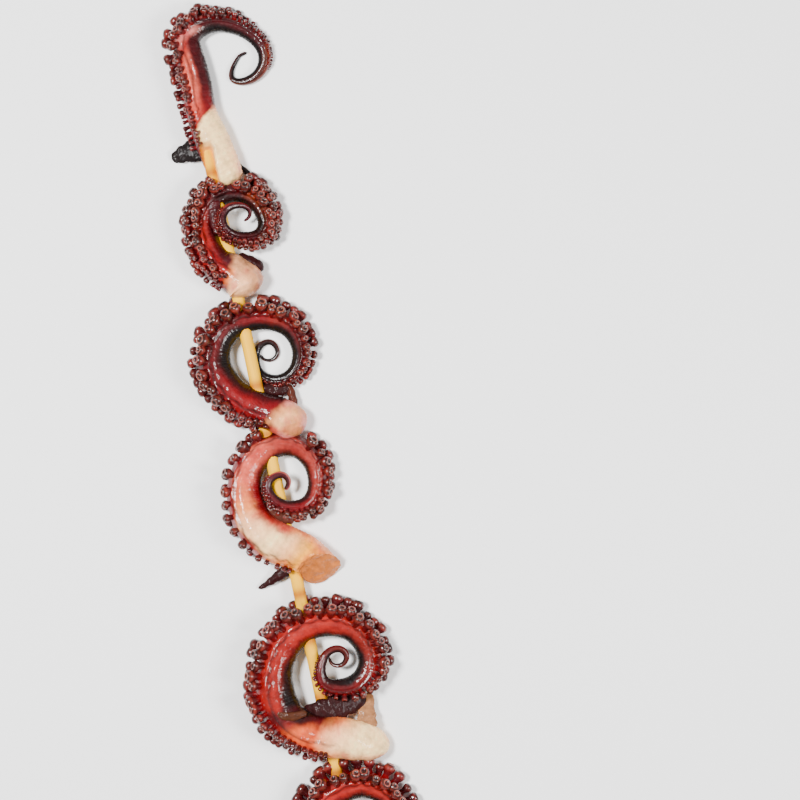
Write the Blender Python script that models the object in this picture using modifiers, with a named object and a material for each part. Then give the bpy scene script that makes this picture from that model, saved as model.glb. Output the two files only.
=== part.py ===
"""A skewer of six cooked squid arms, lying flat with its shown side up.

The stick runs along Y with its point towards +Y. Each arm is a tapering round body that the
stick goes through, curled into a coil, with two staggered rows of suckers on its outer side.
The plans below are in millimetres, measured from the point of the stick, and the meshes are
in metres.
"""
import math

import bmesh
import bpy
import numpy as np
from mathutils import Matrix, Vector

MM = 0.001

# The bamboo stick
STICK_RADIUS = 2.5
STICK_LENGTH = 400.0
STICK_POINT = 14.0
STICK_HEIGHT = 5.4
STICK_SIDES = 16
STICK_END_BEVEL = 0.5
STICK_TIP_RADIUS = 0.5
STICK_TIP_LENGTH = 0.4

# Clearances between pieces that touch
FIT_GAP = 0.3
NEIGHBOUR_GAP = 0.35
BORE_PAST_END = 1.0

# How an arm's middle line and its measures run from one row of its plan to the next
FINE_STEP = 0.25
CURVE_SAMPLES = 60
EASE_REACH = 4.0
EASE_SAMPLES = 9

# The section of an arm: a round one, fuller at the top of the sucker side, flat underneath
SECTION_SIDES = 9
FLAT_ANGLE = math.radians(70)
FULLNESS = 0.14
THICKNESS = 0.95
END_DROOP = 0.5
RING_SPACING = 0.9
RING_SPACING_LEAST = 0.55
TIP_ROUNDING = 1.2

# Suckers: radius 1 at the widest, standing on a stalk that starts inside the arm
SUCKER_PROFILE = ((0.0, 2.2), (0.9, 2.1), (1.1, 1.3), (0.7, -0.5), (0.0, -0.5))
SUCKER_SIDES = 6
SUCKER_PROFILE_SMALL = ((0.0, 2.15), (1.05, 1.75), (0.75, -0.5), (0.0, -0.5))
SUCKER_SIDES_SMALL = 5
SUCKER_SMALL_RADIUS = 1.75
SUCKER_HEIGHT = 2.2
SUCKER_HEAD_HEIGHT = 1.3
SUCKER_PITCH = 2.2
SUCKER_ROW = 35.0
SUCKER_AXIS_SHARE = 0.7
SUCKER_LEAST_RADIUS = 1.0
SUCKER_UNEVEN_SIZE = 0.1
SUCKER_UNEVEN_PLACE = 0.25
SUCKER_LIFT_STEP = 5.0
SUCKER_LIFT_MOST = 25.0
SUCKER_CLEARANCE = 0.4
SUCKER_OWN_REACH = 3.0
FLOOR_CLEARANCE = 0.1

# Columns of an arm's plan. Each row is a place where the arm's middle line was measured, about
# one for each eighth or quarter of a turn: where it is, which way it heads, how wide the arm
# is there, how high it is lifted, how far its sucker side is rolled up towards +Z, and the
# radius of the suckers.
X, Y, HEADING, HALF_WIDTH, LIFT, ROLL, SUCKER = range(7)

ARMS = {
    "arm_1": {
        "rows": (
            (6.2, -24.0, 104, 6.6, 0.0, 12, 0.0),
            (2.2, -5.5, 101, 7.1, 0.0, 12, 0.0),
            (0.7, 5.0, 92, 6.1, 0.0, 12, 1.1),
            (1.0, 18.0, 90, 6.0, 0.0, 10, 1.5),
            (0.6, 32.0, 90, 5.6, 0.0, 8, 1.9),
            (11.0, 39.2, 0, 3.9, 0.0, 6, 1.8),
            (24.3, 33.5, -42, 3.1, 0.0, 0, 0.9),
            (30.0, 23.0, -92, 2.7, 0.0, 0, 0.4),
            (20.2, 14.0, 180, 1.7, 0.0, 0, 0.0),
            (15.2, 17.2, 84, 1.0, 0.0, 0, 0.0),
            (19.2, 23.8, 47, 0.8, 0.0, 0, 0.0),
            (23.2, 25.3, 10, 0.6, 0.0, 0, 0.0),
        ),
        "overhang": 3.0, "base_rounding": 6.0,
    },
    "arm_2": {
        "rows": (
            (4.8, -67.5, 108, 8.4, 0.0, 24, 0.0),
            (0.0, -61.2, 128, 7.6, 0.0, 24, 0.9),
            (-5.3, -55.5, 120, 6.6, 0.0, 25, 1.4),
            (-8.6, -42.0, 90, 5.2, 0.0, 26, 1.8),
            (5.0, -28.7, 0, 4.8, 0.0, 27, 2.1),
            (17.6, -42.0, -90, 4.1, 0.0, 28, 1.6),
            (11.0, -48.9, 180, 2.9, 3.0, 28, 1.2),
            (0.0, -40.5, 88, 2.2, 9.0, 26, 0.6),
            (6.2, -34.9, 0, 1.4, 8.0, 24, 0.0),
            (11.6, -38.4, -90, 0.9, 6.0, 20, 0.0),
            (8.4, -41.3, 185, 0.4, 5.0, 20, 0.0),
        ),
        "overhang": 3.5, "base_rounding": 6.0,
    },
    "arm_3": {
        "rows": (
            (11.2, -126.0, 118, 7.3, 0.0, 6, 0.0),
            (7.3, -121.3, 138, 7.4, 0.0, 6, 0.0),
            (1.5, -117.6, 150, 6.9, 0.0, 6, 1.5),
            (-9.6, -108.8, 128, 6.8, 0.0, 7, 2.0),
            (-14.5, -96.0, 91, 6.8, 0.0, 8, 2.2),
            (2.0, -80.2, 0, 5.0, 0.0, 10, 2.4),
            (16.2, -84.8, -44, 4.6, 0.0, 14, 2.0),
            (20.2, -95.0, -90, 3.7, 0.0, 18, 1.7),
            (10.0, -106.8, 180, 2.7, 0.0, 20, 0.9),
            (1.3, -98.5, 88, 1.7, 0.0, 20, 0.0),
            (7.4, -90.5, 0, 1.2, 0.0, 20, 0.0),
            (10.8, -94.8, -90, 1.0, 0.0, 20, 0.0),
            (7.2, -97.9, 180, 0.7, 0.0, 20, 0.0),
            (4.0, -95.0, 90, 0.5, 0.0, 20, 0.0),
        ),
        "overhang": 4.0, "base_rounding": 6.0,
    },
    "arm_4": {
        "rows": (
            (10.2, -183.0, 117, 7.6, 0.0, -20, 0.0),
            (4.8, -176.2, 140, 8.1, 0.0, -20, 0.9),
            (-5.6, -169.3, 140, 8.5, 0.0, -18, 1.3),
            (-12.2, -160.0, 110, 8.2, 0.0, -17, 1.6),
            (-13.5, -151.5, 90, 7.4, 0.0, -16, 1.9),
            (3.5, -131.8, 0, 5.0, 0.0, -8, 2.2),
            (16.4, -145.5, -90, 4.0, 0.0, 0, 2.0),
            (7.5, -157.9, 180, 3.2, 5.5, 4, 1.4),
            (-3.6, -148.0, 90, 1.7, 8.5, 6, 0.6),
            (1.8, -143.6, 0, 1.4, 8.3, 10, 0.0),
            (4.9, -146.8, -90, 1.2, 7.6, 10, 0.0),
            (2.6, -149.7, 190, 0.7, 7.6, 10, 0.0),
        ),
        "overhang": 7.2, "base_rounding": 3.0,
        "cut_face": {"point": (8.5, -179.5, 12.5), "azimuth": -70.3, "elevation": 40.0},
    },
    "arm_5": {
        "rows": (
            (19.5, -258.3, 152, 5.4, 0.0, 5, 0.0),
            (12.5, -254.6, 156, 7.8, 0.0, 5, 0.0),
            (2.0, -250.6, 163, 8.6, 0.0, 5, 0.9),
            (-8.0, -246.4, 150, 8.0, 0.0, 5, 1.2),
            (-14.8, -239.8, 122, 8.0, 0.0, 6, 1.6),
            (-17.4, -228.5, 90, 7.8, 0.0, 6, 2.1),
            (4.0, -204.8, 0, 6.0, 0.0, 7, 2.2),
            (22.3, -221.0, -90, 4.8, 0.0, 4, 2.0),
            (11.5, -232.0, 180, 3.8, 3.0, -10, 1.2),
            (2.0, -225.5, 88, 2.1, 7.8, -8, 0.6),
            (9.6, -216.2, 0, 1.5, 6.8, 0, 0.0),
            (13.3, -219.8, -90, 1.2, 6.2, 0, 0.0),
            (9.6, -223.2, 180, 0.9, 5.8, 0, 0.0),
            (6.6, -219.2, 70, 0.5, 5.2, 0, 0.0),
        ),
        "overhang": 3.5, "base_rounding": 7.0,
    },
    "arm_6": {
        "rows": (
            (19.5, -323.2, 160, 6.2, 0.0, 8, 0.0),
            (9.0, -319.2, 158, 7.7, 0.0, 8, 0.9),
            (-4.5, -312.0, 145, 7.4, 0.0, 9, 1.4),
            (-12.3, -302.0, 112, 7.0, 0.0, 10, 1.8),
            (-14.4, -290.0, 90, 6.6, 0.0, 11, 2.0),
            (5.5, -271.3, 0, 5.7, 0.0, 14, 2.3),
            (21.0, -289.5, -90, 4.4, 0.0, 13, 2.0),
            (10.5, -300.6, 180, 3.3, 3.5, 12, 1.2),
            (1.4, -291.0, 90, 2.1, 8.3, 11, 0.6),
            (7.6, -284.6, 0, 1.5, 7.6, 10, 0.0),
            (11.2, -288.2, -90, 1.1, 7.0, 10, 0.0),
            (8.2, -291.0, 180, 0.8, 6.6, 10, 0.0),
            (6.2, -288.4, 80, 0.5, 6.2, 10, 0.0),
        ),
        "overhang": 5.0, "base_rounding": 8.0,
    },
}

# Shreds of skin and membrane that hang from the arms, as short tapering strands of their own.
# Their rows stop at the column of the lift.
SHREDS = {
    "arm_1": (
        {
            "rows": (
                (-3.5, -9.0, 188, 5.0, 2.2),
                (-9.0, -9.7, 190, 4.4, 1.8),
                (-15.0, -10.9, 192, 1.3, 1.2),
            ),
            "overhang": 1.0, "base_rounding": 2.0, "thickness": 0.25,
        },
    ),
    "arm_2": (
        {
            "rows": (
                (11.0, -61.0, 140, 2.4, 3.0),
                (7.0, -57.4, 142, 2.6, 3.2),
                (3.2, -54.6, 150, 1.8, 3.4),
            ),
            "overhang": 1.5, "base_rounding": 3.0, "thickness": 0.85,
        },
    ),
    "arm_3": (
        {
            "rows": (
                (13.0, -118.0, 88, 1.8, 3.0),
                (12.8, -112.0, 98, 1.8, 2.4),
                (11.2, -107.6, 122, 1.4, 2.0),
            ),
            "overhang": 0.5, "base_rounding": 1.5, "thickness": 0.7,
        },
    ),
    "arm_4": (
        {
            "rows": (
                (-2.6, -181.9, 190, 2.7, 1.4),
                (-9.0, -184.3, 202, 2.0, 0.8),
                (-16.2, -186.8, 190, 0.5, 0.4),
            ),
            "overhang": 0.5, "base_rounding": 1.5, "thickness": 0.8,
        },
    ),
    "arm_5": (
        {
            "rows": (
                (14.6, -249.5, 72, 3.5, 3.2),
                (16.2, -243.0, 76, 3.0, 2.4),
                (17.4, -236.5, 78, 2.4, 1.6),
            ),
            "overhang": 0.5, "base_rounding": 1.5, "thickness": 0.35,
        },
    ),
    "arm_6": (),
}

# Where the stick shows in a groove at the end of the first arm
GROOVE_ARM = "arm_1"
GROOVE_HALF_WIDTH = 2.3
GROOVE_START = -9.0
GROOVE_END = -32.0
GROOVE_TOP = 20.0

# An arm whose base lies under the suckers of the next one gets seats for them
SEATS = {"arm_1": "arm_2", "arm_2": "arm_3", "arm_3": "arm_4", "arm_5": "arm_6"}

# Tidying of the finished meshes
WELD_DISTANCE = 0.000002
TURNED_WELD_DISTANCE = 0.000001
SCREW_MERGE_DISTANCE = 0.00001
SHARP_ANGLE = math.radians(50)

COLOURS = {
    "stick": (0.82, 0.66, 0.28),
    "arm_1": (0.46, 0.08, 0.07),
    "arm_2": (0.30, 0.06, 0.05),
    "arm_3": (0.38, 0.05, 0.05),
    "arm_4": (0.66, 0.27, 0.17),
    "arm_5": (0.44, 0.09, 0.06),
    "arm_6": (0.44, 0.09, 0.06),
}
ROUGHNESS = {"stick": 0.6}
ROUGHNESS_FLESH = 0.25


def clear_scene():
    for item in list(bpy.data.objects):
        bpy.data.objects.remove(item, do_unlink=True)


def new_collection(name):
    collection = bpy.data.collections.new(name)
    bpy.context.scene.collection.children.link(collection)
    return collection


def curve_between(start, end):
    """A smooth curve from one row of a plan to the next, as a cubic Bezier.

    Each handle is chord / (3 cos(turn / 4) squared), which follows a circle's arc when the two
    rows lie evenly on one, and an arc of a coil that tightens when they don't.
    """
    first = np.array((start[X], start[Y]))
    last = np.array((end[X], end[Y]))
    turn = (end[HEADING] - start[HEADING] + 180) % 360 - 180
    chord = np.hypot(*(last - first))
    handle = chord / (3 * math.cos(math.radians(turn) / 4) ** 2)
    out = math.radians(start[HEADING])
    into = math.radians(end[HEADING])
    second = first + handle * np.array((math.cos(out), math.sin(out)))
    third = last - handle * np.array((math.cos(into), math.sin(into)))
    share = np.linspace(0, 1, CURVE_SAMPLES, endpoint=False)[:, None]
    rest = 1 - share
    return rest ** 3 * first + 3 * rest ** 2 * share * second + 3 * rest * share ** 2 * third + share ** 3 * last


def trace(plan):
    """The middle line at even steps: distance, x, y, heading, and the distance of each row."""
    rows = plan["rows"]
    pieces = [curve_between(start, end) for start, end in zip(rows, rows[1:])]
    points = np.vstack(pieces + [np.array([(rows[-1][X], rows[-1][Y])])])
    run = np.concatenate(([0], np.cumsum(np.hypot(*np.diff(points, axis=0).T))))
    length = run[-1]
    distance = np.linspace(0, length, int(length / FINE_STEP) + 1)
    x = np.interp(distance, run, points[:, 0])
    y = np.interp(distance, run, points[:, 1])
    heading = np.unwrap(np.arctan2(np.gradient(y), np.gradient(x)))
    marks = run[::CURVE_SAMPLES]
    return {"distance": distance, "x": x, "y": y, "heading": heading, "length": length, "marks": marks}


def place(path, distance):
    """Points and headings at given distances; before the start the path runs on straight."""
    distance = np.asarray(distance, float)
    before = np.minimum(distance, 0)
    heading = np.interp(distance, path["distance"], path["heading"])
    x = np.interp(distance, path["distance"], path["x"]) + before * math.cos(path["heading"][0])
    y = np.interp(distance, path["distance"], path["y"]) + before * math.sin(path["heading"][0])
    return x, y, heading


def measure(plan, path, column, distance):
    """One column of a plan at given distances, with its corners eased."""
    values = [row[column] for row in plan["rows"]]
    distance = np.asarray(distance, float)
    offsets = np.linspace(-EASE_REACH, EASE_REACH, EASE_SAMPLES)
    return np.mean([np.interp(distance + offset, path["marks"], values) for offset in offsets], axis=0)


def body(plan, path, distance):
    """Half width, half height and height of the centre at given distances.

    Both ends are rounded like a quarter of an ellipse. The underside touches the floor where
    the lift is zero, and an end draws up from the floor as it closes.
    """
    full_width = measure(plan, path, HALF_WIDTH, distance)
    base = np.clip((distance + plan["overhang"]) / plan["base_rounding"], 0, 1)
    tip = np.clip((path["length"] - distance) / TIP_ROUNDING, 0, 1)
    closing = np.sqrt(1 - (1 - base) ** 2) * np.sqrt(1 - (1 - tip) ** 2)
    full_height = full_width * plan.get("thickness", THICKNESS)
    rest = math.sin(FLAT_ANGLE) * full_height * (1 - END_DROOP * (1 - closing))
    centre = rest + measure(plan, path, LIFT, distance)
    return full_width * closing, full_height * closing, centre


def section_point(width, height, angle):
    """Across and up from the centre, for an angle that starts at the sucker side."""
    fuller = 1 + FULLNESS * np.cos(angle) * (np.sin(angle) > 0)
    return width * np.cos(angle), height * np.sin(angle) * fuller


def ring_distances(plan, path):
    """Places of the rings, closer together where the strand is thin."""
    fine = np.arange(0.05 - plan["overhang"], path["length"], 0.05)
    width = body(plan, path, fine)[0]
    density = 1 / (RING_SPACING * width + RING_SPACING_LEAST)
    total = np.concatenate(([0], np.cumsum((density[1:] + density[:-1]) / 2 * np.diff(fine))))
    count = max(6, int(round(total[-1])))
    return np.interp(np.linspace(0, total[-1], count), total, fine)


def cut_plane(plan):
    face = plan["cut_face"]
    azimuth = math.radians(face["azimuth"])
    elevation = math.radians(face["elevation"])
    flat = math.cos(elevation)
    normal = (flat * math.cos(azimuth), flat * math.sin(azimuth), math.sin(elevation))
    return np.array(face["point"]), np.array(normal)


def strand_mesh(name, plan, grow=0.0):
    """A closed loft of flat-bottomed rings along the strand's middle line.

    Where the plan has a cut face, the points past its plane slide back along the strand's
    first direction until they lie in the plane.
    """
    path = trace(plan)
    distance = ring_distances(plan, path)
    x, y, heading = place(path, distance)
    width, height, centre = body(plan, path, distance)
    angles = -FLAT_ANGLE + np.arange(SECTION_SIDES) * 2 * math.pi / SECTION_SIDES
    across, up = section_point((width + grow)[:, None], (height + grow)[:, None], angles[None, :])
    points = np.stack((
        x[:, None] - np.sin(heading)[:, None] * across,
        y[:, None] + np.cos(heading)[:, None] * across,
        centre[:, None] + up,
    ), axis=-1)
    if "cut_face" in plan:
        point, normal = cut_plane(plan)
        along = np.array((math.cos(heading[0]), math.sin(heading[0]), 0.0))
        beyond = np.maximum((points - point) @ normal, 0)
        points = points - (beyond / (along @ normal))[..., None] * along
    rings = len(distance)
    faces = []
    for ring in range(rings - 1):
        for side in range(SECTION_SIDES):
            a = ring * SECTION_SIDES + side
            b = ring * SECTION_SIDES + (side + 1) % SECTION_SIDES
            faces.append((a, b, b + SECTION_SIDES, a + SECTION_SIDES))
    faces.append(tuple(reversed(range(SECTION_SIDES))))
    faces.append(tuple(range((rings - 1) * SECTION_SIDES, rings * SECTION_SIDES)))
    mesh = bpy.data.meshes.new(name)
    mesh.from_pydata((points.reshape(-1, 3) * MM).tolist(), [], faces)
    close_up(mesh)
    return mesh


def close_up(mesh, weld=0.0):
    """Weld a mesh where asked, point its faces outwards and split them into triangles."""
    work = bmesh.new()
    work.from_mesh(mesh)
    if weld:
        bmesh.ops.remove_doubles(work, verts=work.verts, dist=weld)
    bmesh.ops.recalc_face_normals(work, faces=work.faces)
    bmesh.ops.triangulate(work, faces=work.faces)
    work.to_mesh(mesh)
    work.free()


def add_object(name, mesh, collection):
    item = bpy.data.objects.new(name, mesh)
    collection.objects.link(item)
    return item


def turned_mesh(name, profile, sides, scale):
    """A closed turned shape: a profile on the XZ plane with a Screw modifier round Z."""
    mesh = bpy.data.meshes.new(name)
    points = [(radius * scale, 0.0, height * scale) for radius, height in profile]
    mesh.from_pydata(points, [(i, i + 1) for i in range(len(points) - 1)], [])
    item = add_object(name, mesh, bpy.context.scene.collection)
    screw = item.modifiers.new("Turn", "SCREW")
    screw.axis = "Z"
    screw.angle = 2 * math.pi
    screw.steps = sides
    screw.render_steps = sides
    screw.use_merge_vertices = True
    screw.merge_threshold = SCREW_MERGE_DISTANCE
    depsgraph = bpy.context.evaluated_depsgraph_get()
    turned = bpy.data.meshes.new_from_object(item.evaluated_get(depsgraph))
    bpy.data.objects.remove(item, do_unlink=True)
    bpy.data.meshes.remove(mesh)
    close_up(turned, weld=TURNED_WELD_DISTANCE)
    return turned


def uneven(index, kind):
    """A fixed number from -1 to 1 for each sucker, so no two are quite alike."""
    return math.sin(12.9898 * (index + 1) + 78.233 * (kind + 1))


def sucker_places(plan, path):
    """Suckers in two staggered rows: centre on the skin, direction and radius of each."""
    found = []
    distance = 0.0
    index = 0
    while distance < path["length"]:
        stated = float(measure(plan, path, SUCKER, distance))
        if stated < SUCKER_LEAST_RADIUS:
            distance += FINE_STEP
            continue
        radius = max(SUCKER_LEAST_RADIUS, stated * (1 + SUCKER_UNEVEN_SIZE * uneven(index, 0)))
        at = distance + SUCKER_UNEVEN_PLACE * radius * uneven(index, 1)
        side = 1 if index % 2 == 0 else -1
        fitted = fit_sucker(plan, path, at, radius, side)
        if fitted:
            found.append(fitted)
        distance += SUCKER_PITCH * radius
        index += 1
    return found


def fit_sucker(plan, path, at, radius, side):
    """Raise a sucker until it clears the floor, or leave it out."""
    x, y, heading = place(path, at)
    width, height, centre = body(plan, path, np.asarray(at))
    roll = float(measure(plan, path, ROLL, at))
    for lift in np.arange(0, SUCKER_LIFT_MOST + SUCKER_LIFT_STEP, SUCKER_LIFT_STEP):
        row = side * SUCKER_ROW + (lift if side < 0 else 0)
        angle = math.radians(roll + row)
        axis = math.radians(roll + SUCKER_AXIS_SHARE * row)
        across, up = section_point(float(width), float(height), angle)
        side_way = np.array((-math.sin(heading), math.cos(heading), 0.0))
        skin = np.array((float(x), float(y), float(centre) + up)) + side_way * across
        way = side_way * math.cos(axis) + np.array((0, 0, math.sin(axis)))
        lowest = skin[2] + SUCKER_HEIGHT * radius * way[2] - radius * math.cos(axis)
        if lowest > FLOOR_CLEARANCE:
            return {"at": at, "skin": skin, "way": way, "radius": radius}
    return None


def head_of(sucker):
    return sucker["skin"] + sucker["way"] * sucker["radius"] * SUCKER_HEAD_HEIGHT


def clears_own_arm(sucker, plan, path):
    """Whether the head of a sucker stays off the other turns of its own arm."""
    head = head_of(sucker)
    distance = np.arange(0, path["length"], 1.0)
    x, y, _ = place(path, distance)
    width, height, centre = body(plan, path, distance)
    gap = np.sqrt((x - head[0]) ** 2 + (y - head[1]) ** 2 + (centre - head[2]) ** 2)
    gap = gap - np.maximum(width, height) - sucker["radius"]
    own_width = float(body(plan, path, np.asarray(sucker["at"]))[0])
    others = np.abs(distance - sucker["at"]) >= SUCKER_OWN_REACH * own_width
    return bool(np.all(gap[others] > SUCKER_CLEARANCE))


def clears_previous_base(sucker, previous):
    """Whether a sucker lies above the base of the arm before it rather than inside it."""
    if previous is None:
        return True
    head = head_of(sucker)
    path = trace(previous)
    distance = np.arange(-previous["overhang"], path["length"], 1.0)
    x, y, _ = place(path, distance)
    width, _, centre = body(previous, path, distance)
    outside = np.hypot(x - head[0], y - head[1]) - width
    nearest = int(np.argmin(outside))
    return outside[nearest] > sucker["radius"] * 0.5 or head[2] > centre[nearest]


def put_suckers(name, suckers, meshes, collection, grow=0.0):
    for number, sucker in enumerate(suckers):
        kind = "small" if sucker["radius"] < SUCKER_SMALL_RADIUS else "large"
        item = add_object(f"{name}_sucker_{number}", meshes[kind], collection)
        size = (sucker["radius"] + grow) * MM
        turn = Vector(sucker["way"]).to_track_quat("Z", "Y").to_matrix().to_4x4()
        origin = Vector(sucker["skin"]) * MM
        item.matrix_world = Matrix.Translation(origin) @ turn @ Matrix.Scale(size, 4)


def combine(item, collection, operation):
    """One Boolean with every object of a collection, applied; the objects are then removed."""
    boolean = item.modifiers.new(operation.title(), "BOOLEAN")
    boolean.operation = operation
    boolean.operand_type = "COLLECTION"
    boolean.collection = collection
    boolean.solver = "MANIFOLD"
    bpy.context.view_layer.update()
    depsgraph = bpy.context.evaluated_depsgraph_get()
    result = bpy.data.meshes.new_from_object(item.evaluated_get(depsgraph))
    item.modifiers.remove(boolean)
    old = item.data
    item.data = result
    bpy.data.meshes.remove(old)
    for part in list(collection.objects):
        bpy.data.objects.remove(part, do_unlink=True)
    bpy.data.collections.remove(collection)


def keep_largest(item):
    """Weld, drop loose scraps and leave one closed body of triangles."""
    work = bmesh.new()
    work.from_mesh(item.data)
    bmesh.ops.remove_doubles(work, verts=work.verts, dist=WELD_DISTANCE)
    bmesh.ops.dissolve_degenerate(work, edges=work.edges, dist=WELD_DISTANCE)
    unseen = set(work.verts)
    groups = []
    while unseen:
        group = {unseen.pop()}
        front = list(group)
        while front:
            vertex = front.pop()
            for edge in vertex.link_edges:
                other = edge.other_vert(vertex)
                if other in unseen:
                    unseen.remove(other)
                    group.add(other)
                    front.append(other)
        groups.append(group)
    largest = max(groups, key=len)
    for group in groups:
        if group is not largest:
            bmesh.ops.delete(work, geom=list(group), context="VERTS")
    bmesh.ops.triangulate(work, faces=work.faces)
    work.to_mesh(item.data)
    work.free()


def add_box(name, low, high, collection):
    low = Vector(low) * MM
    high = Vector(high) * MM
    mesh = bpy.data.meshes.new(name)
    work = bmesh.new()
    size = Matrix.Diagonal(high - low).to_4x4()
    bmesh.ops.create_cube(work, size=1.0, matrix=Matrix.Translation((low + high) / 2) @ size)
    work.to_mesh(mesh)
    work.free()
    return add_object(name, mesh, collection)


def add_bore(collection):
    """A cylinder round the stick, a little wider and longer than it."""
    depth = (STICK_LENGTH + 2 * BORE_PAST_END) * MM
    mesh = bpy.data.meshes.new("bore")
    work = bmesh.new()
    turn = Matrix.Rotation(math.pi / 2, 4, "X")
    shift = Matrix.Translation((0.0, -STICK_LENGTH * MM / 2, STICK_HEIGHT * MM))
    bmesh.ops.create_cone(
        work, cap_ends=True, segments=STICK_SIDES, depth=depth, matrix=shift @ turn,
        radius1=(STICK_RADIUS + FIT_GAP) * MM, radius2=(STICK_RADIUS + FIT_GAP) * MM,
    )
    bmesh.ops.recalc_face_normals(work, faces=work.faces)
    work.to_mesh(mesh)
    work.free()
    return add_object("bore", mesh, collection)


def finish_material(item):
    material = bpy.data.materials.new(item.name)
    material.use_nodes = True
    shader = material.node_tree.nodes["Principled BSDF"]
    shader.inputs["Base Color"].default_value = (*COLOURS[item.name], 1.0)
    shader.inputs["Roughness"].default_value = ROUGHNESS.get(item.name, ROUGHNESS_FLESH)
    shader.inputs["Metallic"].default_value = 0.0
    item.data.materials.clear()
    item.data.materials.append(material)


def shade(item):
    item.data.shade_smooth()
    item.data.set_sharp_from_angle(angle=SHARP_ANGLE)


def make_stick(collection):
    profile = (
        (0.0, 0.0),
        (STICK_TIP_RADIUS, -STICK_TIP_LENGTH),
        (STICK_RADIUS, -STICK_POINT),
        (STICK_RADIUS, STICK_END_BEVEL - STICK_LENGTH),
        (STICK_RADIUS - STICK_END_BEVEL, -STICK_LENGTH),
        (0.0, -STICK_LENGTH),
    )
    stick = add_object("stick", turned_mesh("stick", profile, STICK_SIDES, MM), collection)
    stick.rotation_euler = (-math.pi / 2, 0.0, 0.0)
    stick.location = (0.0, 0.0, STICK_HEIGHT * MM)
    shade(stick)
    return stick


def make_arm(name, chosen, sucker_meshes, collection):
    """The body with its suckers and shreds joined, then cut to fit the stick and the next arm."""
    arm = add_object(name, strand_mesh(name, ARMS[name]), collection)
    joined = new_collection(f"{name}_joined")
    put_suckers(name, chosen[name], sucker_meshes, joined)
    for number, shred in enumerate(SHREDS[name]):
        add_object(f"{name}_shred_{number}", strand_mesh(f"{name}_shred_{number}", shred), joined)
    combine(arm, joined, "UNION")
    cutters = new_collection(f"{name}_cutters")
    add_bore(cutters)
    if name == GROOVE_ARM:
        low = (-GROOVE_HALF_WIDTH, GROOVE_END, STICK_HEIGHT)
        add_box("groove", low, (GROOVE_HALF_WIDTH, GROOVE_START, GROOVE_TOP), cutters)
    if name in SEATS:
        other = SEATS[name]
        add_object("seat_body", strand_mesh("seat_body", ARMS[other], grow=NEIGHBOUR_GAP), cutters)
        put_suckers("seat", chosen[other], sucker_meshes, cutters, grow=NEIGHBOUR_GAP)
    combine(arm, cutters, "DIFFERENCE")
    keep_largest(arm)
    shade(arm)
    return arm


def choose_suckers():
    """The suckers of every arm that clear the floor, the arm itself and the arm before it."""
    chosen = {}
    previous = {other: name for name, other in SEATS.items()}
    for name, plan in ARMS.items():
        path = trace(plan)
        before = ARMS[previous[name]] if name in previous else None
        chosen[name] = [
            sucker for sucker in sucker_places(plan, path)
            if clears_own_arm(sucker, plan, path) and clears_previous_base(sucker, before)
        ]
    return chosen


def centre_on_floor(items):
    """Move everything so that the origin is under the middle of the whole skewer."""
    bpy.context.view_layer.update()
    corners = np.array([
        tuple(item.matrix_world @ vertex.co) for item in items for vertex in item.data.vertices
    ])
    middle = (corners.min(axis=0) + corners.max(axis=0)) / 2
    shift = Vector((-middle[0], -middle[1], -corners[:, 2].min()))
    for item in items:
        item.location = item.location + shift
    return shift


def build():
    clear_scene()
    skewer = new_collection("squid_skewer")
    stick = make_stick(skewer)
    sucker_meshes = {
        "large": turned_mesh("large_sucker", SUCKER_PROFILE, SUCKER_SIDES, 1.0),
        "small": turned_mesh("small_sucker", SUCKER_PROFILE_SMALL, SUCKER_SIDES_SMALL, 1.0),
    }
    chosen = choose_suckers()
    items = [stick] + [make_arm(name, chosen, sucker_meshes, skewer) for name in ARMS]
    for mesh in sucker_meshes.values():
        bpy.data.meshes.remove(mesh)
    shift = centre_on_floor(items)
    for item in items:
        finish_material(item)
        triangles = sum(len(face.vertices) - 2 for face in item.data.polygons)
        print(f"{item.name}: {triangles} triangles, {len(chosen.get(item.name, ()))} suckers")
    print("shift in mm:", [round(value / MM, 2) for value in shift])


build()
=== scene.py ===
# %% [markdown]
# A skewer of cooked squid arms lies flat on a pale floor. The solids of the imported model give
# every piece its place. Here each arm gets a smooth skin, rows of cup-shaped suckers and the
# colours of cooked squid, from cream at the cut base to nearly black on the inner edge.

# %% Load the frame
import math

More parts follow.
